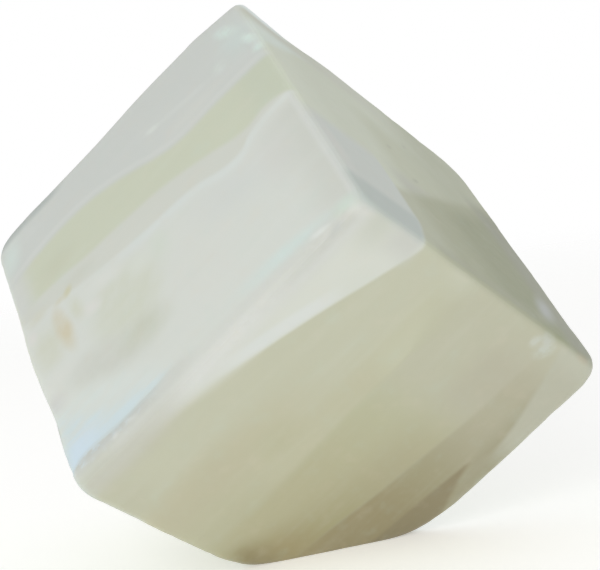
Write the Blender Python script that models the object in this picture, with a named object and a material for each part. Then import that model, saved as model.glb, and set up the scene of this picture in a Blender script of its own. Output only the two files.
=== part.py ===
"""Calcite cube: one block of milky calcite, hand cut, hand polished, and stood on a corner.

The block is a true cube whose lowest corner is ground off to a flat foot, so that the cube
stands with its body diagonal almost upright. Metres, +Z up. The origin is the point of the
foot straight under the middle of the block, and the front face looks towards -Y.
"""
from math import pi

import bmesh
import bpy
from mathutils import Matrix, Vector

# The block before it is stood up. Its own axes are square to its faces: +X comes out of the
# top face on the right, +Y out of the top face at the back, +Z out of the one on the left.
EDGE = 0.0500           # from face to face, the same all three ways
HALF = EDGE / 2
EDGE_ROUND = 0.0012     # radius that hand polishing leaves along every edge
ROUND_STEPS = 16        # facets in a full turn round an edge
FLAT_ANGLE = 0.001      # radians under which two facets are one flat face
FRONT_FACE = Vector((0, -1, 0))

# The edge between the left-hand top face and the front face is rubbed down much further.
WORN_EDGE_ROUND = 0.0030
WORN_EDGE_MIDDLE = Vector((0, -HALF, HALF))
WORN_STEPS = 4

# The foot: how far its cut runs from the lost corner along the edges in X, Y and Z.
FOOT_CORNER = (-1, -1, -1)
FOOT_RUNS = (0.0178, 0.0190, 0.0204)
FOOT_SKIM = 0.00012     # last pass on the sanding plate, which leaves the foot dead flat

# The top corner is bruised off in the same way, by a slip that runs along one edge only.
TIP_CORNER = (1, 1, 1)
TIP_RUNS = (0.0112, 0.0030, 0.0023)

# How far back along its edges each corner is eased. The last three are the foot's own.
CORNER_EASES = {
    (1, 1, -1): 0.0036,
    (1, -1, 1): 0.0016,
    (1, -1, -1): 0.0024,
    (-1, 1, 1): 0.0018,
    (-1, 1, -1): 0.0022,
}
FOOT_EASES = (0.0058, 0.0054, 0.0048)
EASE_STEPS = 3

# Cleavage scar: a long, very shallow hollow in the left-hand top face. Its narrow end starts
# on the worn edge, and it is widest and deepest where it runs out at the lower left corner.
SCAR_SIZE = Vector((0.072, 0.019, 0.005))
SCAR_DEPTH = 0.00050
SCAR_MIDDLE = Vector((-0.0270, -0.0156, HALF + SCAR_SIZE.z / 2 - SCAR_DEPTH))
SCAR_YAW = -0.27
SCAR_STEPS = 48

MILKY_GREEN = (0.60, 0.64, 0.54, 1.0)
POLISH_ROUGHNESS = 0.30
SMOOTH_ANGLE = pi / 5


def clear_scene():
    for thing in list(bpy.data.objects):
        bpy.data.objects.remove(thing, do_unlink=True)


def corner_plane(signs, runs):
    """A point on the cut that takes off one corner, and the cut's outward normal."""
    corner = Vector(signs) * HALF
    outward = Vector([side / run for side, run in zip(signs, runs)]).normalized()
    return corner - Vector((signs[0] * runs[0], 0, 0)), outward


def slice_off(bm, point, outward):
    """Cut away all that lies outside a plane and close the cut with one flat face."""
    everything = bm.verts[:] + bm.edges[:] + bm.faces[:]
    cut = bmesh.ops.bisect_plane(
        bm, geom=everything, plane_co=point, plane_no=outward, clear_outer=True, dist=1e-7
    )
    rim = [part for part in cut["geom_cut"] if isinstance(part, bmesh.types.BMEdge)]
    bmesh.ops.contextual_create(bm, geom=rim)


def ease_corner(bm, place, run):
    """Round the corner nearest to a place, starting a given run back along its edges."""
    corner = min(bm.verts, key=lambda vert: (vert.co - place).length)
    bmesh.ops.bevel(
        bm, geom=[corner], offset=run, segments=EASE_STEPS, profile=0.5, affect="VERTICES"
    )


def wear_edge(bm, place, run):
    """Round the edge whose middle is nearest to a place."""
    edge = min(bm.edges, key=lambda e: ((e.verts[0].co + e.verts[1].co) / 2 - place).length)
    bmesh.ops.bevel(
        bm, geom=[edge], offset=run, segments=WORN_STEPS, profile=0.5, affect="EDGES"
    )


def ball_points():
    """The points of a ball of the edge radius, square to the faces of the block."""
    bm = bmesh.new()
    bmesh.ops.create_uvsphere(
        bm, u_segments=ROUND_STEPS, v_segments=ROUND_STEPS // 2, radius=EDGE_ROUND
    )
    points = [vert.co.copy() for vert in bm.verts]
    bm.free()
    return points


def round_edges(bm):
    """Set a ball on every corner of the sharp block and stretch one skin round them all."""
    places = [vert.co.copy() for vert in bm.verts]
    ball = ball_points()
    bm.clear()
    for place in places:
        for point in ball:
            bm.verts.new(place + point)
    bmesh.ops.convex_hull(bm, input=bm.verts[:], use_existing_faces=False)
    inside = [vert for vert in bm.verts if not vert.link_faces]
    bmesh.ops.delete(bm, geom=inside, context="VERTS")
    bmesh.ops.dissolve_limit(bm, angle_limit=FLAT_ANGLE, verts=bm.verts[:], edges=bm.edges[:])


def block_mesh():
    """The block in its own axes: cube, foot, tip, worn edge, eased corners, round edges."""
    inner = HALF - EDGE_ROUND
    bm = bmesh.new()
    bmesh.ops.create_cube(bm, size=2 * inner)
    for signs, runs in ((FOOT_CORNER, FOOT_RUNS), (TIP_CORNER, TIP_RUNS)):
        on_cut, outward = corner_plane(signs, runs)
        slice_off(bm, on_cut - outward * EDGE_ROUND, outward)
    for signs, run in CORNER_EASES.items():
        ease_corner(bm, Vector(signs) * inner, run)
    for axis, (run, ease) in enumerate(zip(FOOT_RUNS, FOOT_EASES)):
        foot_tip = Vector(FOOT_CORNER) * inner
        foot_tip[axis] -= FOOT_CORNER[axis] * run
        ease_corner(bm, foot_tip, ease)
    wear_edge(bm, WORN_EDGE_MIDDLE, WORN_EDGE_ROUND - EDGE_ROUND)
    round_edges(bm)
    on_foot, outward = corner_plane(FOOT_CORNER, FOOT_RUNS)
    slice_off(bm, on_foot - outward * FOOT_SKIM, outward)
    return bm


def stand_up():
    """The placing of the block in the world: foot level, front face round towards -Y."""
    on_foot, outward = corner_plane(FOOT_CORNER, FOOT_RUNS)
    level = outward.rotation_difference(Vector((0, 0, -1))).to_matrix()
    front = level @ FRONT_FACE
    swing = front.to_2d().angle_signed(Vector((0, -1)))
    turn = Matrix.Rotation(-swing, 3, "Z") @ level
    height = (on_foot - outward * FOOT_SKIM).dot(outward)
    return Matrix.Translation((0, 0, height)) @ turn.to_4x4()


def scar_cutter(place):
    """A long flat ellipsoid that dips into the left-hand top face."""
    bm = bmesh.new()
    bmesh.ops.create_uvsphere(
        bm, u_segments=SCAR_STEPS, v_segments=SCAR_STEPS // 2, radius=0.5
    )
    size = Matrix.Diagonal(SCAR_SIZE.to_4d())
    lie = Matrix.Translation(SCAR_MIDDLE) @ Matrix.Rotation(SCAR_YAW, 4, "Z") @ size
    bmesh.ops.transform(bm, matrix=lie, verts=bm.verts[:])
    mesh = bpy.data.meshes.new("scar_cutter")
    bm.to_mesh(mesh)
    bm.free()
    cutter = bpy.data.objects.new("scar_cutter", mesh)
    cutter.matrix_world = place
    cutter.hide_render = True
    cutter.display_type = "WIRE"
    return cutter


def calcite():
    material = bpy.data.materials.new("milky_green_calcite")
    material.use_nodes = True
    shader = material.node_tree.nodes["Principled BSDF"]
    shader.inputs["Base Color"].default_value = MILKY_GREEN
    shader.inputs["Roughness"].default_value = POLISH_ROUGHNESS
    shader.inputs["Metallic"].default_value = 0.0
    material.diffuse_color = MILKY_GREEN
    return material


def build():
    clear_scene()
    part = bpy.data.collections.new("calcite_cube_part")
    cutters = bpy.data.collections.new("cutters")
    for collection in (part, cutters):
        bpy.context.scene.collection.children.link(collection)

    place = stand_up()
    bm = block_mesh()
    mesh = bpy.data.meshes.new("calcite_cube")
    bm.to_mesh(mesh)
    bm.free()
    mesh.shade_smooth()
    mesh.set_sharp_from_angle(angle=SMOOTH_ANGLE)
    mesh.materials.append(calcite())
    block = bpy.data.objects.new("calcite_cube", mesh)
    block.matrix_world = place
    part.objects.link(block)

    cutter = scar_cutter(place)
    cutters.objects.link(cutter)
    scar = block.modifiers.new("cleavage_scar", "BOOLEAN")
    scar.operation = "DIFFERENCE"
    scar.solver = "EXACT"
    scar.object = cutter


build()
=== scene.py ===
"""Looks of the calcite cube: a hand-polished block of milky calcite on a pale studio floor."""
from math import pi, radians

import bmesh
import bpy
import numpy as np
from mathutils import Matrix, Vector, noise
from mathutils.bvhtree import BVHTree


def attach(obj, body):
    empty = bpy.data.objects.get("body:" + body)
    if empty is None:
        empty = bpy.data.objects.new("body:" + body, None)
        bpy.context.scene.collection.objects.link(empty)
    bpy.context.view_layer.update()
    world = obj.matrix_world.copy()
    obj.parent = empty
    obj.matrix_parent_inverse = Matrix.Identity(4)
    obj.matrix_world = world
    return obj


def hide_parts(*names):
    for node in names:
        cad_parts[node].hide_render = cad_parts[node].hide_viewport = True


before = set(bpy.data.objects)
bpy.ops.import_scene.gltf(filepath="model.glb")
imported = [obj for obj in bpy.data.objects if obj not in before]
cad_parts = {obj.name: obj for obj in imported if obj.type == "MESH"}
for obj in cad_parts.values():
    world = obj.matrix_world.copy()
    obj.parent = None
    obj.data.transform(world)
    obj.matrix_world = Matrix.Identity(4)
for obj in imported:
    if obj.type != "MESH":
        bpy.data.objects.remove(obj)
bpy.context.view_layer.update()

# ---------------------------------------------------------------------------------------
# The block. One piece of calcite, cut to a cube and rubbed smooth by hand. Its skin is a
# fine grid drawn down onto the solid in the frame, then relaxed so that every edge is
# round, and swollen a little where the polishing left the faces and edges crowned.

MM = 0.001
EDGE = 50                     # from face to face, in millimetres
HALF = EDGE / 2 * MM          # from the middle of the block to each face, in metres
CELLS = 120                   # grid cells along one edge
CROWDING = 0.62               # how far the grid is drawn towards the edges, from 0 to 1
START_SIZE = 1.03             # size of the grid at the start, as a share of the block's
RELAX_ROUNDS = 12
CROWN = 0.0085                # how far the middle of a face stands proud, as a share of HALF
BROAD_FACES = 6               # the foot and the bruised corner are smaller

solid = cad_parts["calcite_cube"]


def face_directions(mesh):
    """The outward directions of the three broad faces that look up: left, back and right."""
    facing = {}
    for face in mesh.polygons:
        key = tuple(round(part, 2) for part in face.normal)
        facing[key] = facing.get(key, Vector()) + face.normal * face.area
    broad = sorted(facing.values(), key=lambda total: total.length)[-BROAD_FACES:]
    return sorted((total.normalized() for total in broad if total.z > 0), key=lambda n: n.x)


# The block's own axes: X out of the right-hand top face, Y out of the back one, Z out of
# the left-hand one. The middle is HALF behind these three broad faces.
left, back, right = face_directions(solid.data)
axes = Matrix((right, back, left)).transposed()
middle = sum(
    (direction * (max(direction.dot(v.co) for v in solid.data.vertices) - HALF)
     for direction in (right, back, left)),
    Vector(),
)
place = Matrix.Translation(middle) @ axes.to_4x4()


def grid_cube():
    """The points, faces and links of a cube from -1 to 1 with a square grid on each face."""
    bm = bmesh.new()
    bmesh.ops.create_cube(bm, size=2)
    bmesh.ops.subdivide_edges(bm, edges=bm.edges[:], cuts=CELLS - 1, use_grid_fill=True)
    bm.verts.index_update()
    points = np.array([vert.co for vert in bm.verts])
    links = np.array([[vert.index for vert in edge.verts] for edge in bm.edges])
    mesh = bpy.data.meshes.new("calcite_cube_skin")
    bm.to_mesh(mesh)
    bm.free()
    return mesh, points, links


def draw_down(points, mesh):
    """Move points to the nearest place on a mesh that is in the world's axes."""
    bm = bmesh.new()
    bm.from_mesh(mesh)
    tree = BVHTree.FromBMesh(bm)
    bm.free()
    inverse = place.inverted()
    return np.array([inverse @ tree.find_nearest(place @ Vector(point))[0] for point in points])


def relaxed(points, links, rounds):
    """Move each point half way to the middle of its neighbours, round after round."""
    count = np.zeros(len(points))
    np.add.at(count, links.ravel(), 1)
    for _ in range(rounds):
        total = np.zeros_like(points)
        np.add.at(total, links[:, 0], points[links[:, 1]])
        np.add.at(total, links[:, 1], points[links[:, 0]])
        points = (points + total / count[:, None]) / 2
    return points


def crowned(points):
    """Swell the block: the middle of a face stands proud by the crown, an edge's by half."""
    near_x, near_y, near_z = (1 - (points / HALF) ** 2).T
    others = np.stack([near_y + near_z, near_z + near_x, near_x + near_y], 1)
    return points * (1 + CROWN / 2 * others)


def outward(mesh, points):
    """The way out of the skin at each of its points."""
    mesh.vertices.foreach_set("co", points.ravel())
    mesh.update()
    normals = np.empty(points.size)
    mesh.vertices.foreach_get("normal", normals)
    return normals.reshape(-1, 3)


def fade(share):
    """From 1 at no distance down to 0 at a whole one, rounded at both ends."""
    left_over = 1 - np.clip(share, 0, 1)
    return left_over * left_over * (3 - 2 * left_over)


def rough(points, size, seed):
    """Soft noise from -1 to 1 at each point, with lumps of about a given size in metres."""
    shift = Vector((seed, 2.3 * seed, 3.7 * seed))
    return np.array([noise.noise(Vector(point) / size + shift) for point in points])


# Where the hand pressed harder or less hard on the wheel: the middle of the place, how far
# it reaches and how far the skin moves out there, in millimetres.
PRESSED = (
    ((15, 25, 25), 13, -0.32),
    ((-2, 25, 25), 13, -0.22),
    ((-19, 25, 25), 7, 0.20),
    ((25, 25, 14), 10, -0.28),
    ((25, 19, -24), 9, 0.24),
    ((25, 10, -25), 8, 0.14),
    ((25, -14, -25), 9, -0.14),
    ((14, -25, -25), 12, -0.18),
    ((0, -25, -25), 13, -0.24),
    ((-25, -25, 8), 10, 0.16),
    ((-25, -25, -2), 9, 0.20),
    ((-25, 0, 25), 10, 0.28),
    ((-25, -12.5, 25), 6, -0.24),
)
# Small bruises, pits and nicks, and two low bumps, given in the same way.
KNOCKED = (
    ((25, -1.8, 1.3), 0.9, -0.02),
    ((25, 5.7, 2.5), 0.8, -0.02),
    ((25, 12.1, -4.7), 0.7, -0.02),
    ((21.4, 19.2, 25), 1.6, -0.10),
    ((23.4, 14.0, 25), 1.3, -0.12),
    ((24.0, 11.6, 25), 1.2, -0.10),
    ((5.0, 16.0, 25), 1.0, -0.05),
    ((22.8, -25, -13.8), 1.3, -0.12),
    ((22.9, -25, -11.3), 1.0, -0.08),
    ((24.4, -25, -13.0), 0.9, -0.08),
    ((19.4, -24.9, 24.7), 1.1, -0.14),
    ((-16.6, -22.8, 25), 0.9, 0.05),
    ((-13.1, -23.1, 25), 1.0, 0.05),
)
# Soft waves from the wheel, by size and height. Nibbles are missing here and there along the
# edges. The crease is the sharp lower side of the cleavage scar. All are in millimetres.
WAVES = ((9.0, 0.045), (3.0, 0.010))
NIBBLE_SEED = 7
NIBBLE_SIZE = 2.2
NIBBLE_DEPTH = 0.11
NIBBLE_FROM = 0.1             # strength of the noise from which an edge is nibbled
NIBBLE_INSET = 0.4            # how far in from an edge a nibble is still full
NIBBLE_FADE = 1.6             # and over what width it ends
CREASE_SEED = 11
CREASE_LINE = -21.6           # Y of the crease
CREASE_END = -3.5             # X where it has died out
CREASE_FADE = 8.0             # over what length it does so
CREASE_DEPTH = 0.09
CREASE_EVEN = 0.8             # share of its depth that is there all along
CREASE_BROKEN = 0.8           # share that comes and goes with the chips
CREASE_GENTLE_SIDE = 2.4      # width of its side towards +Y
CREASE_SHARP_SIDE = 0.5       # and of the side towards -Y
CREASE_CHIP = 2.6             # size of the chips

skin, points, links = grid_cube()
points = points * (1 - CROWDING) + np.sin(points * pi / 2) * CROWDING
points = draw_down(points * HALF * START_SIZE, solid.data)
points = relaxed(points, links, RELAX_ROUNDS)
points = crowned(points)

normals = outward(skin, points)
lift = np.zeros(len(points))
for spot_middle, reach, height in PRESSED + KNOCKED:
    away = np.linalg.norm(points - np.array(spot_middle) * MM, axis=1)
    lift += height * MM * fade(away / (reach * MM))
for seed, (size, height) in enumerate(WAVES):
    lift += height * MM * rough(points, size * MM, seed + 1)

# A point is on an edge where two of its three distances from the middle are near HALF.
second = np.sort(np.abs(points), axis=1)[:, 1]
on_edge = fade((HALF - NIBBLE_INSET * MM - second) / (NIBBLE_FADE * MM))
nibbled = np.clip(rough(points, NIBBLE_SIZE * MM, NIBBLE_SEED) - NIBBLE_FROM, 0, 1)
lift -= NIBBLE_DEPTH * MM * on_edge * nibbled
across = points[:, 1] - CREASE_LINE * MM
along = fade((points[:, 0] - (CREASE_END - CREASE_FADE) * MM) / (CREASE_FADE * MM))
gentle_side = fade(across / (CREASE_GENTLE_SIDE * MM))
sharp_side = fade(-across / (CREASE_SHARP_SIDE * MM))
valley = np.where(across > 0, gentle_side, sharp_side)
depth = CREASE_EVEN + CREASE_BROKEN * rough(points, CREASE_CHIP * MM, CREASE_SEED)
on_left_face = points[:, 2] > HALF * 0.8
lift -= CREASE_DEPTH * MM * valley * depth * along * on_left_face
points = points + normals * lift[:, None]

# Back into the world's axes, with the foot flat on the table.
points = points @ np.array(axes).T + np.array(middle)
points[:, 2] = np.maximum(points[:, 2], 0)
skin.vertices.foreach_set("co", points.ravel())
skin.shade_smooth()
block = bpy.data.objects.new("calcite_block", skin)
bpy.context.scene.collection.objects.link(block)


class Wire:
    """A socket in a node tree. Arithmetic on it adds Math nodes."""

    def __init__(self, tree, socket=None):
        self.tree = tree
        self.socket = socket

    def node(self, kind, settings, sockets, output=0):
        """Add a node: its settings are made first, then its sockets are filled or linked.

        The setting "stops" lists the points of a curve, from its first to its last.
        """
        made = self.tree.nodes.new(kind)
        for name, value in settings.items():
            if name == "stops":
                line = made.mapping.curves[0].points
                line[0].location, line[-1].location = value[0], value[-1]
                for stop in value[1:-1]:
                    line.new(*stop)
                made.mapping.update()
            else:
                setattr(made, name, value)
        for key, value in sockets.items():
            if isinstance(value, Wire):
                self.tree.links.new(value.socket, made.inputs[key])
            else:
                made.inputs[key].default_value = value
        return Wire(self.tree, made.outputs[output])

    def maths(self, operation, first, second=0.0):
        """Add a Math node."""
        return self.node("ShaderNodeMath", {"operation": operation}, {0: first, 1: second})

    def __add__(self, other):
        return self.maths("ADD", self, other)

    __radd__ = __add__

    def __sub__(self, other):
        return self.maths("SUBTRACT", self, other)

    def __rsub__(self, other):
        return self.maths("SUBTRACT", other, self)

    def __mul__(self, other):
        return self.maths("MULTIPLY", self, other)

    __rmul__ = __mul__

    def __truediv__(self, other):
        return self.maths("DIVIDE", self, other)

    def __neg__(self):
        return self.maths("MULTIPLY", self, -1)

    def __abs__(self):
        return self.maths("ABSOLUTE", self)


def pale(red, green, blue):
    """A colour given in the 0 to 255 steps of a paint chart, as the light it gives back."""
    steps = [part / 255 for part in (red, green, blue)]
    light = [((s + 0.055) / 1.055) ** 2.4 if s > 0.04 else s / 12.92 for s in steps]
    return (*light, 1.0)


def rise(value, start, end):
    """A soft step from 0 to 1 as a value goes from start to end, which may be lower.

    The smooth step holds 0 and 1 outside them by itself, so nothing is clamped again.
    """
    return value.node(
        "ShaderNodeMapRange",
        {"interpolation_type": "SMOOTHSTEP", "clamp": False},
        {"Value": value, "From Min": start, "From Max": end},
    )


def course(value, *stops):
    """A line over a face, from a few points on it: how high it runs at each place along it."""
    shares = [(along / EDGE + 0.5, height / EDGE + 0.5) for along, height in stops]
    place_along = value / EDGE + 0.5
    share = value.node("ShaderNodeFloatCurve", {"stops": shares}, {"Value": place_along})
    return share * EDGE - EDGE / 2


def spot(where, middle, reach, turn=(0, 0, 0), core=0.0):
    """A soft oval patch: 1 out to its core, then fading to 0 at its reach."""
    local = where.node(
        "ShaderNodeMapping",
        {"vector_type": "TEXTURE"},
        {"Vector": where, "Location": middle, "Rotation": turn, "Scale": reach},
    )
    ball = {"gradient_type": "SPHERICAL"}
    near = local.node("ShaderNodeTexGradient", ball, {"Vector": local}, "Fac")
    return rise(near, 0.0, 1.0 - core)


def cloud(where, scale, detail=2.0, output="Fac"):
    """Soft noise about 0, from roughly -0.5 to 0.5. The scale is in cycles per millimetre."""
    grain = where.node(
        "ShaderNodeTexNoise",
        {"noise_dimensions": "3D"},
        {"Vector": where, "Scale": scale, "Detail": detail, "Roughness": 0.5},
        output,
    )
    if output == "Color":
        less = {"operation": "SUBTRACT"}
        return grain.node("ShaderNodeVectorMath", less, {0: grain, 1: (0.5, 0.5, 0.5)})
    return grain - 0.5


def split(place):
    """The three numbers of a place, each as a wire of its own."""
    return [place.node("ShaderNodeSeparateXYZ", {}, {0: place}, key) for key in "XYZ"]


def glaze(under, over, mask):
    """Lay one colour over another, as thickly as the mask says."""
    return mask.node("ShaderNodeMix", {"data_type": "RGBA"}, {0: mask, 6: under, 7: over}, 2)


calcite = bpy.data.materials.new("milky_calcite")
calcite.use_nodes = True
tree = calcite.node_tree
shader = tree.nodes["Principled BSDF"]

# Places in the stone are in millimetres from its middle, along its own axes. The layers
# hardly wander at the three faces that look out, and much more at the other three.
STILL = 0.3                   # how far they wander at the faces that look out
WANDER = 6.4                  # how much farther they do elsewhere
WANDER_SCALE = 0.08           # in cycles per millimetre
STILL_FROM = 23.6             # from here on towards one of the faces that look out
WANDER_UP_TO = 21.0           # up to here they wander in full

world = Wire(tree).node("ShaderNodeTexCoord", {}, {}, "Object")
straight = world.node(
    "ShaderNodeMapping",
    {"vector_type": "TEXTURE"},
    {"Vector": world, "Location": middle, "Rotation": axes.to_euler(), "Scale": (MM,) * 3},
)
flat_x, flat_y, flat_z = split(straight)
shown = flat_z.maths("MAXIMUM", flat_z, flat_x.maths("MAXIMUM", flat_x, -flat_y))
wander = STILL + WANDER * rise(shown, STILL_FROM, WANDER_UP_TO)
drift = straight.node(
    "ShaderNodeVectorMath", {"operation": "SCALE"},
    {0: cloud(straight, WANDER_SCALE, 0.0, "Color"), "Scale": wander},
)
where = straight.node("ShaderNodeMapping", {}, {"Vector": straight, "Location": drift})
x, y, z = split(where)

# Silk and streaks run with the layers, along X. Uneven and mottled are patches of thicker
# and thinner milk, coarse and fine.
lengthwise = where.node("ShaderNodeMapping", {}, {"Vector": where, "Scale": (0.14, 1.0, 1.0)})
silk = cloud(lengthwise, 0.45, 2.0)
streaks = 0.62 + 2.4 * cloud(lengthwise, 1.1, 3.0)
uneven = 0.85 + 1.1 * cloud(where, 0.4, 3.0)
mottled = 1.0 + 2.4 * cloud(where, 1.1, 2.0)

# How far a patch on a face reaches straight into the stone: so far that it doesn't fade.
DEEP = 40

# The left-hand top face: a blue-grey strip along the back, a green band, a lilac strip, and
# milk that is cream and olive at the left. Lines give Y at each X, patches their middle.
TOP = EDGE / 2
band_top = course(
    x, (-25, 14.6), (-18, 15.8), (-9, 15.7), (-3, 14.1), (1, 12.3), (4, 10.8), (8, 9.5),
    (15, 9.3), (25, 8.5),
)
band_foot = course(
    x, (-25, 8.2), (-18, 8.2), (-11, 7), (-4, 6.2), (3.5, 4.9), (11, 2.6), (17, 0.6),
    (21, 1.1), (25, -0.3),
)
milk_edge = course(
    x, (-25, 6.5), (-14, 3.6), (-9, 2.5), (-2, 1.2), (6.8, 0), (14.6, -2.1), (17.5, -0.7),
    (25, -0.2),
)
scar_top = course(
    x, (-25, -10.6), (-21, -11.8), (-14.5, -14.6), (-11, -16.7), (-7, -19.3), (-3, -21.2),
    (25, -21.6),
)
icy_top = course(
    x, (-25, -12), (-22, -13.5), (-19.4, -15.6), (-16, -18), (-12.7, -19.1), (-10, -19.8),
    (-5, -21.1), (25, -21.3),
)
scar_share = rise(x, -4, -10)
crease = course(
    x, (-25, -22.6), (-23.6, -21.4), (-22, -20.9), (-18, -21.2), (-14, -21.7), (-8, -22),
    (25, -22.6),
)

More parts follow.
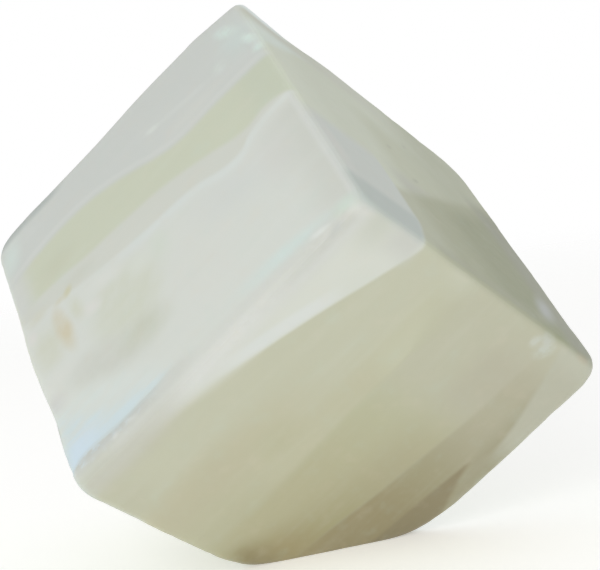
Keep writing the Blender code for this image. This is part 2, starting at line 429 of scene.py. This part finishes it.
left_face = pale(208, 212, 205)
for colour, mask in (
    # Milk, thicker and thinner, then painted shade and a painted highlight at the edge with the
    # right-hand face.
    (pale(209, 212, 205), spot(where, (3, -12, TOP), (10, 12, DEEP))),
    (pale(205, 209, 204), spot(where, (12, -6, TOP), (11, 6, DEEP), (0, 0, -0.3))),
    (pale(205, 207, 201), spot(where, (19, -7, TOP), (5, 9, DEEP))),
    # Painted shade towards the rounded edge with the right-hand face, and a painted highlight along
    # it.
    (pale(200, 203, 195), rise(x, 17, 24) * rise(y, -0.5, -3)),
    (pale(205, 208, 203), rise(x, 23.4, 24.4) * rise(y, 0.5, -0.5)),
    # Olive, cream and lilac patches at the left.
    (pale(202, 206, 191), spot(where, (-8, -6, TOP), (8.5, 8, DEEP), core=0.35) * uneven),
    (pale(203, 211, 199), spot(where, (-0.6, -2.6, TOP), (2.8, 5.2, DEEP)) * uneven * 0.7),
    (pale(199, 202, 193),
     spot(where, (-13.6, -11.6, TOP), (10.5, 4.6, DEEP), (0, 0, -0.42), core=0.2) * uneven),
    (pale(210, 215, 206), spot(where, (-4.2, -2.8, TOP), (3.6, 2.8, DEEP), (0, 0, -0.4)) * 0.7),
    (pale(195, 199, 184),
     spot(where, (-7.4, -12.5, TOP), (6.8, 3.9, DEEP), (0, 0, -0.2), core=0.1) * uneven),
    (pale(211, 214, 207), spot(where, (-9.5, 0.6, TOP), (5, 2.2, DEEP), (0, 0, -0.4))),
    (pale(213, 214, 208), spot(where, (-13.4, -1.6, TOP), (3, 1.8, DEEP), (0, 0, -0.5))),
    (pale(202, 205, 189), spot(where, (-21.3, -1.2, TOP), (4.5, 5.5, DEEP), core=0.1) * uneven),
    (pale(212, 212, 206), spot(where, (-23.3, 2.8, TOP), (1.4, 2.0, DEEP))),
    (pale(210, 213, 206), spot(where, (-21.8, -7.2, TOP), (5, 2.4, DEEP))),
    (pale(199, 200, 196), spot(where, (-24.4, -10.6, TOP), (4.2, 2.8, DEEP))),
    # The bright rim of the milk and the lilac strip behind it.
    (pale(208, 213, 208),
     rise(y, milk_edge - 2.6, milk_edge - 0.5) * rise(x, -12, -2) * rise(x, 22, 14)),
    (pale(211, 218, 214), rise(abs(y - milk_edge + 0.7), 0.7, 0.2) * rise(x, -8, 0) * 0.25),
    (pale(203, 206, 197), rise(y, milk_edge - 0.3, milk_edge + 0.6)),
    (pale(199, 202, 191), spot(where, (-13, 5.2, TOP), (5, 1.9, DEEP), (0, 0, -0.15))),
    (pale(204, 206, 193), spot(where, (-21.5, 5.4, TOP), (3, 1.8, DEEP))),
    (pale(202, 205, 189), spot(where, (-15.4, 0.6, TOP), (1.8, 3.8, DEEP), (0, 0, 0.15)) * uneven),
    # The green band.
    (pale(197, 202, 182), rise(y, band_foot - 0.6, band_foot + 0.7) * rise(x, -24.5, -19)),
    (pale(193, 199, 180), rise(y, band_foot - 0.6, band_foot + 0.7) * rise(x, 16, 22)),
    (pale(194, 198, 177), spot(where, (-16, 10.8, TOP), (6, 3.4, DEEP))),
    (pale(202, 205, 199), rise(y, band_foot - 0.6, band_foot + 0.6) * rise(x, -20, -24)),
    # The blue-grey strip, its wisps and the icy bruises near the corner.
    (pale(199, 203, 198), rise(y, band_top - 0.7, band_top + 0.7)),
    (pale(205, 208, 203), rise(abs(y - band_top - 1.0), 0.8, 0.1) * 0.6),
    (pale(204, 208, 203), spot(where, (11.5, 15, TOP), (8.5, 1.0, DEEP), (0, 0, -0.13)) * uneven),
    (pale(203, 213, 207), spot(where, (-22.6, 20.0, TOP), (3.0, 5, DEEP), (0, 0, -0.4))),
    (pale(176, 183, 179), rise(y, 22.4, 23.8) * rise(x, -9, -14)),
    (pale(202, 205, 199), spot(where, (12, 12, TOP), (7, 3, DEEP))),
    (pale(198, 208, 203), spot(where, (22, 16.5, TOP), (4.5, 6, DEEP), (0, 0, 0.3)) * uneven),
    (pale(207, 212, 206), spot(where, (5.6, 16, TOP), (2.0, 0.9, DEEP), (0, 0, -0.3)) * mottled),
    (pale(205, 212, 206),
     spot(where, (18.2, 14.4, TOP), (1.7, 2.0, DEEP), (0, 0, 0.5)) * mottled * 0.7),
    (pale(205, 218, 211), spot(where, (21.2, 19.3, TOP), (1.5, 3.4, DEEP), (0, 0, 0.7)) * mottled),
    (pale(206, 219, 212), spot(where, (23.7, 14.2, TOP), (1.3, 2.6, DEEP), (0, 0, 0.5)) * mottled),
    (pale(206, 219, 212), spot(where, (24.3, 11.4, TOP), (1.6, 1.4, DEEP)) * mottled),
    (pale(192, 198, 194), spot(where, (25, 25, TOP), (2.6, 2.6, DEEP))),
    # The rust spot and the two dots above it.
    (pale(202, 196, 172),
     spot(where, (-18.2, -0.6, TOP), (1.9, 6.0, DEEP), (0, 0, 0.11), core=0.2) * uneven),
    (pale(199, 198, 172), spot(where, (-15.8, 4.6, TOP), (1.6, 1.1, DEEP), (0, 0, 0.6), core=0.1)),
    (pale(203, 203, 187), spot(where, (-17.4, 4.5, TOP), (1.6, 0.9, DEEP))),
    # The scar: a milky slope, a painted icy highlight over its floor, and painted shade
    # along the grey crease and under it.
    (pale(207, 214, 209), rise(y, scar_top + 1.8, scar_top - 1.8) * scar_share * (streaks + 0.2)),
    # Painted highlight: the icy floor of the scar.
    (pale(202, 216, 218), rise(y, icy_top + 1.2, icy_top - 1.8) * scar_share * streaks),
    (pale(202, 216, 219), rise(y, crease + 3.0, crease + 0.6) * rise(x, -8, -16)),
    (pale(203, 219, 228), rise(x, -17, -22) * rise(y, -16, -19)),
    # Painted shadow under the crease, and painted shade along its line.
    (pale(195, 199, 193), rise(y, crease + 0.1, crease - 0.5) * rise(x, -5, -13) * mottled),
    (pale(194, 199, 193),
     rise(abs(y - crease), 0.6, 0.1) * scar_share * (0.3 + 0.4 * rise(x, -17, -12))),
    # A painted highlight in the icy streak, then milk along the rubbed-down edge with painted
    # shade towards it, and painted highlights beside the nick near the corner.
    # Painted highlight: the icy streak.
    (pale(204, 216, 211),
     spot(where, (14, -21.9, TOP), (12.5, 2.1, DEEP), (0, 0, -0.11), core=0.1) * uneven),
    (pale(201, 204, 197), spot(where, (-6, -22.8, TOP), (5.5, 2.4, DEEP))),
    # Painted shade: darker towards the rubbed-down edge, more so at its lower end.
    (pale(200, 202, 196), rise(y, -21.6, -24.6)),
    (pale(188, 191, 177), rise(y, -22.2, -24.2) * rise(x, -15, -21)),
    (pale(210, 213, 208), spot(where, (-16.7, -22.8, TOP), (0.9, 0.7, DEEP)) * 0.8),
    (pale(207, 210, 205), spot(where, (-13.6, -22.8, TOP), (1.6, 0.7, DEEP), (0, 0, -0.5)) * 0.8),
    # More painted shade towards the edge, in its middle.
    (pale(201, 204, 196), rise(y, -23.2, -24.6) * rise(x, 4, 14)),
    # Painted highlights beside the nick near the corner.
    (pale(201, 212, 202), spot(where, (22.6, -23.2, TOP), (3, 1.8, DEEP))),
    (pale(213, 217, 212), spot(where, (18.4, -23.4, TOP), (2.4, 0.7, DEEP), (0, 0, -0.2))),
):
    left_face = glaze(left_face, colour, mask)

# The front face: milk along its top, then green-grey that goes brown in layers towards the
# foot and darker there, partly painted shade near the table, with a paler wedge at the right.
# Lines give Z at each X.
FRONT = -EDGE / 2
milk_floor = course(
    x, (-25, 25.2), (-18, 24.7), (-12, 23.9), (-6, 22.2), (0, 20.9), (10, 18.2), (18, 15.5),
    (25, 13.4),
)
milk_blur = 0.4 + 1.1 * rise(x, 6, -7)
first_blur = 0.6 + 3.2 * rise(x, 12, 19)
first_layer = course(
    x, (-25, -0.2), (-13, 1.6), (-4, 2.4), (3, 2.7), (13, 2.8), (17, 3.3), (20, 4.3),
    (25, 4.8),
)
layer = course(
    x, (-25, -9.5), (-14, -10.5), (-6, -11.8), (0, -12.5), (6, -13.1), (11, -13.4),
    (25, -13.4),
)
deep_layer = -19.25 - 0.11 * x
deep_end = x - 2.1 * z - 43.6
wedge_top = course(
    x, (-25, -25), (2, -22.5), (8, -21.4), (13, -20.2), (17, -18.7), (21.6, -16.9),
    (25, -15),
)

front_face = pale(188, 189, 168)
for colour, mask in (
    # Olive above the first layer, browner to the left.
    (pale(185, 183, 158), rise(z, 17, 11) * rise(x, 8, -8)),
    (pale(183, 180, 155), rise(z, 17, 11) * rise(x, -4, -16)),
    (pale(185, 184, 159), rise(z, 10, 5)),
    (pale(181, 180, 153), spot(where, (-6, FRONT, 8), (6, DEEP, 4))),
    (pale(189, 190, 167), rise(x, 6, 12) * rise(z, 10, 4)),
    (pale(179, 178, 151), rise(z, 11, 2) * rise(x, -8, -18)),
    # Below the first layer.
    (pale(180, 181, 153), rise(z, first_layer + first_blur, first_layer - first_blur)),
    (pale(183, 183, 162),
     rise(z, first_layer + first_blur, first_layer - first_blur) * rise(x, 2, 12)),
    (pale(179, 177, 157), rise(z, -4, -9) * rise(x, 5, 14) * rise(x, 24, 17)),
    (pale(176, 173, 143), rise(z, 3.2, 1.0) * rise(x, 10, -12)),
    (pale(171, 167, 138), rise(z, -2, -11) * rise(x, 12, -2)),
    (pale(162, 157, 121), rise(z, -1, -11) * rise(x, 0, -16)),
    # The brown layers towards the foot, darker partly from painted shade near the table.
    (pale(173, 170, 147), rise(z, layer + 0.5, layer - 0.6) * rise(x, 24, 14)),
    (pale(166, 162, 137), rise(z, layer + 0.5, layer - 0.5) * rise(x, 12, 4)),
    (pale(158, 153, 123), rise(z, layer + 0.5, layer - 0.5) * rise(x, 7, -1)),
    (pale(151, 142, 109), rise(z, layer + 0.5, layer - 0.5) * rise(x, 1, -9)),
    (pale(141, 132, 102), rise(z, deep_layer + 0.4, deep_layer - 0.5) * rise(deep_end, 4.0, 0.5)),
    (pale(158, 154, 128), rise(z, -17, -22) * rise(deep_end, 1, 5)),
    (pale(159, 149, 112), spot(where, (-20.5, FRONT, -7.5), (9, DEEP, 8), (0, 0.5, 0))),
    (pale(143, 134, 98), spot(where, (-23.2, FRONT, -4.5), (5, DEEP, 6), core=0.1) * uneven),
    # The wedge, and the bruise beside it.
    (pale(179, 179, 161), rise(z, wedge_top + 0.6, wedge_top - 0.7) * rise(x, 4, 11)),
    (pale(184, 185, 168), rise(z, wedge_top + 0.6, wedge_top - 0.7) * rise(x, 20, 24)),
    (pale(192, 196, 184),
     spot(where, (22.7, FRONT, -13.8), (2.5, DEEP, 1.8), (0, 0.5, 0)) * mottled),
    (pale(192, 195, 183), spot(where, (22.9, FRONT, -11.3), (1.4, DEEP, 1.3)) * mottled),
    (pale(190, 193, 182), spot(where, (24.2, FRONT, -12.8), (2.4, DEEP, 2.0)) * mottled),
    # Milk along the top, and what shows through it at both ends.
    (pale(206, 209, 200), rise(z, milk_floor - milk_blur, milk_floor + milk_blur)),
    (pale(210, 214, 211),
     rise(abs(z - milk_floor - 1.2), 1.5, 0.4) * rise(x, -5, 3) * rise(x, 16, 11) * 0.8),
    (pale(195, 198, 187), spot(where, (24, FRONT, 21), (6, DEEP, 5))),
    (pale(196, 198, 191), rise(x, 19.5, 24) * rise(z, 13, 15) * rise(z, 20, 17)),
    # Painted shade towards the rubbed-down edge above.
    (pale(202, 204, 199), rise(z, 21.5, 24.2)),
    (pale(183, 183, 169), rise(x, -5, -16) * rise(z, 20, 24)),
    (pale(183, 183, 161), spot(where, (-24, FRONT, 18), (8, DEEP, 6))),
    (pale(190, 192, 173), spot(where, (25, FRONT, 6), (6, DEEP, 5))),
    (pale(190, 176, 152), spot(where, (25.3, FRONT, -20.6), (1.6, DEEP, 2.6))),
):
    front_face = glaze(front_face, colour, mask)

# The right-hand top face: blue milk beside the near corner, a dark green-grey depth below
# it, partly painted shade, and a paler green-grey behind a slanting line. Lines give Z at each Y.
RIGHT = EDGE / 2
blue_foot = 11.4 + 2.6 * rise(y, -18, -26)
slant = course(
    y, (-25, 13), (-14, 12.8), (-12, 10.8), (-10, 7.4), (-6, 1.6), (-2, -4.3), (4, -12.8),
    (10, -21.3), (13, -25),
)

right_face = pale(212, 218, 199)
for colour, mask in (
    # Green-grey, paler towards the top and the back.
    (pale(217, 223, 205), rise(z, 15, 22)),
    (pale(219, 230, 219), rise(y + 0.6 * z, 25.2, 27.8)),
    (pale(227, 236, 227), spot(where, (RIGHT, 19, 22), (DEEP, 8, 6))),
    (pale(240, 249, 245), spot(where, (RIGHT, 23, 21), (DEEP, 4.5, 5), core=0.2)),
    (pale(200, 205, 181), rise(z, 10, 2) * rise(y, 16, 8)),
    (pale(190, 195, 171), rise(z, 2, -14)),
    (pale(207, 211, 195), rise(y, 16, 21) * rise(z, -9, 2)),
    (pale(196, 199, 184), rise(z, 11, 5) * rise(y, -1, -7)),
    # The dark depth in front of the slanting line, partly painted shade.
    (pale(190, 194, 170), rise(z, slant + 3.6, slant - 1.2)),
    (pale(176, 180, 151), rise(z, 9.5, 3.0) * rise(z, slant + 1.8, slant - 1.8)),
    (pale(160, 165, 134), rise(z, slant, slant - 7) * rise(z, 3, -9)),
    (pale(174, 177, 154), rise(y, -20, -24.4) * rise(z, 12, 9) * rise(z, -15, -8) * 0.7),
    (pale(162, 165, 145), rise(z, -15, -20) * rise(y, 13, 5)),
    (pale(188, 192, 188), spot(where, (RIGHT, -17.5, -16.8), (DEEP, 2.8, 8), (0.9, 0, 0))),
    # Blue milk beside the near corner.
    (pale(210, 216, 209), rise(z, blue_foot - 0.7, blue_foot + 0.7) * rise(y, -2, -7)),
    (pale(193, 202, 196), rise(y, -16.8, -19.6) * rise(z, blue_foot - 0.6, blue_foot + 0.8)),
    (pale(216, 219, 212), spot(where, (RIGHT, -12, 23), (DEEP, 9, 2.6))),
    # Three pits.
    (pale(180, 184, 164), spot(where, (RIGHT, -1.8, 1.3), (DEEP, 2.1, 0.7), (-0.785, 0, 0)) * 0.7),
    (pale(184, 188, 168), spot(where, (RIGHT, 5.7, 2.5), (DEEP, 1.9, 0.7), (-0.785, 0, 0)) * 0.6),
    (pale(188, 192, 174), spot(where, (RIGHT, 12.1, -4.7), (DEEP, 1.7, 0.7), (-0.785, 0, 0)) * 0.6),
):
    right_face = glaze(right_face, colour, mask)

# Each face takes its own colours, and they run together over the rounded edges. The edge
# at the back of the right-hand top face is the palest place, close under the top corner.
EDGE_BLEND = 1.2
size_x, size_y, size_z = [abs(part) for part in (flat_x, flat_y, flat_z)]
front_share = rise(size_y - size_x, -EDGE_BLEND, EDGE_BLEND)
top_share = rise(size_z - size_x.maths("MAXIMUM", size_x, size_y), -EDGE_BLEND, EDGE_BLEND)
stone = glaze(right_face, front_face, front_share)
stone = glaze(stone, pale(240, 250, 247), spot(where, (25, 25, 20.5), (5, 5, 9), core=0.4))
stone = glaze(stone, left_face, top_share)

# The rubbed-down edge between the left-hand top face and the front face, with painted shade:
# darker at its lower end, along its ridge at the upper end and in a nick near the corner. The
# first number is greatest along the ridge, the second is how far off it a place lies.
over_edge = flat_z - flat_y
off_ridge = abs(flat_z + flat_y + 0.2)
painted_edge_shade = rise(over_edge, 47.4, 49.2) * rise(x, -3, -12) * rise(size_x, 25, 22)
ridge = rise(over_edge, 46, 47) * rise(off_ridge, 1.7, 0.3)
# Painted shade along the rounded edge, and in the nick near the corner.
stone = glaze(stone, pale(186, 188, 178), painted_edge_shade * 0.75)
stone = glaze(stone, pale(191, 193, 186), ridge * rise(x, 2, 20) * rise(x, 24, 22))
stone = glaze(stone, pale(180, 184, 180), spot(where, (20.0, -24.9, 24.9), (2.4, 1.0, 1.0)) * 0.8)

# Faint warm and cool clouds, pale silk and dark silk over the whole stone.
tint = cloud(straight, 0.35, 3.0)
stone = glaze(stone, pale(212, 202, 186), rise(tint, 0.02, 0.35) * 0.12)
stone = glaze(stone, pale(188, 207, 198), rise(tint, -0.02, -0.35) * 0.12)
stone = glaze(stone, pale(226, 229, 224), rise(silk, 0.0, 0.4) * 0.07)
stone = glaze(stone, pale(178, 180, 164), rise(silk, 0.0, -0.4) * 0.06)

# A soft sheen that varies a little, over the finest scratches of the polishing cloth.
ROUGHNESS = 0.42
ROUGHNESS_VARIES = 0.12
SCRATCH_HEIGHT = 0.04 * MM
SCRATCH_STRENGTH = 0.25

polish = ROUGHNESS + ROUGHNESS_VARIES * cloud(straight, 0.25, 4.0)
scratches = cloud(straight, 1.6, 3.0)
bump = scratches.node(
    "ShaderNodeBump", {},
    {"Strength": SCRATCH_STRENGTH, "Distance": SCRATCH_HEIGHT, "Height": scratches},
)

for name, wire in (("Base Color", stone), ("Roughness", polish), ("Normal", bump)):
    tree.links.new(wire.socket, shader.inputs[name])

# A low gloss on top, and light that sinks about two millimetres into the stone.
shader.inputs["IOR"].default_value = 1.52
shader.inputs["Specular IOR Level"].default_value = 0.4
shader.inputs["Subsurface Weight"].default_value = 0.35
shader.inputs["Subsurface Radius"].default_value = (1.0, 1.0, 0.85)
shader.inputs["Subsurface Scale"].default_value = 0.0022
skin.materials.append(calcite)

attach(block, "root")
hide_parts("calcite_cube")

# ---------------------------------------------------------------------------------------
# The studio: a pale lit table that fades into an even white surround, one large soft light
# low on the front left, and a camera a little above the middle of the block.

FLOOR_RADIUS = 0.80
FLOOR_SIDES = 96
FLOOR_FADE_START = 0.20          # metres from the middle where the table starts to fade out
FLOOR_FADE_END = 0.75            # and where it is gone
TABLE_WHITE = pale(246, 246, 244)
TABLE_GLOW = 0.32                # its own light, which keeps it pale under the block
SURROUND_LIGHT = 0.655           # what the surround throws on the block; it is seen as white
SOFT_LIGHT_PLACE = Vector((-0.46, -0.57, 0.25))
SOFT_LIGHT_SIZE = 0.55           # metres across
SOFT_LIGHT_POWER = 2.1           # watts

floor_mesh = bpy.data.meshes.new("studio_floor")
bm = bmesh.new()
bmesh.ops.create_circle(bm, cap_ends=True, segments=FLOOR_SIDES, radius=FLOOR_RADIUS)
bm.to_mesh(floor_mesh)
bm.free()
floor = bpy.data.objects.new("studio_floor", floor_mesh)
bpy.context.scene.collection.objects.link(floor)

lit_table = bpy.data.materials.new("lit_table")
lit_table.use_nodes = True
tree = lit_table.node_tree
shader = tree.nodes["Principled BSDF"]
shader.inputs["Base Color"].default_value = TABLE_WHITE
shader.inputs["Roughness"].default_value = 0.9
shader.inputs["Emission Color"].default_value = (1, 1, 1, 1)
shader.inputs["Emission Strength"].default_value = TABLE_GLOW
on_table = Wire(tree).node("ShaderNodeTexCoord", {}, {}, "Object")
out = on_table.node("ShaderNodeVectorMath", {"operation": "LENGTH"}, {0: on_table}, "Value")
thinning = rise(out, FLOOR_FADE_END, FLOOR_FADE_START)
tree.links.new(thinning.socket, shader.inputs["Alpha"])
floor_mesh.materials.append(lit_table)

surround = bpy.data.worlds.new("white_surround")
surround.use_nodes = True
tree = surround.node_tree
background = tree.nodes["Background"]
seen = Wire(tree).node("ShaderNodeLightPath", {}, {}, "Is Camera Ray")
strength = seen * (1 - SURROUND_LIGHT) + SURROUND_LIGHT
tree.links.new(strength.socket, background.inputs["Strength"])
background.inputs["Color"].default_value = (1, 1, 1, 1)
bpy.context.scene.world = surround
bpy.context.scene.view_settings.view_transform = "Standard"

soft_light = bpy.data.lights.new("soft_light", "AREA")
soft_light.shape = "DISK"
soft_light.size = SOFT_LIGHT_SIZE
soft_light.energy = SOFT_LIGHT_POWER
soft_box = bpy.data.objects.new("soft_light", soft_light)
soft_box.location = SOFT_LIGHT_PLACE
soft_box.rotation_mode = "QUATERNION"
soft_box.rotation_quaternion = (middle - SOFT_LIGHT_PLACE).to_track_quat("-Z", "Y")
bpy.context.scene.collection.objects.link(soft_box)

CAMERA_PLACE = Vector((-66.54, -208.06, 50.59)) * MM
CAMERA_AIM = Vector((2.04, -0.65, 35.15)) * MM
CAMERA_ROLL = radians(7.05)
LENS = 96.5                      # focal length in millimetres
SENSOR_WIDTH = 36                # in millimetres
camera_data = bpy.data.cameras.new("camera")
camera_data.sensor_width = SENSOR_WIDTH
camera_data.lens = LENS
camera_data.clip_start = 0.01
camera = bpy.data.objects.new("camera", camera_data)
camera.location = CAMERA_PLACE
looking = (CAMERA_AIM - CAMERA_PLACE).to_track_quat("-Z", "Y")
camera.rotation_mode = "QUATERNION"
camera.rotation_quaternion = looking @ Matrix.Rotation(-CAMERA_ROLL, 3, "Z").to_quaternion()
bpy.context.scene.collection.objects.link(camera)
bpy.context.scene.camera = camera
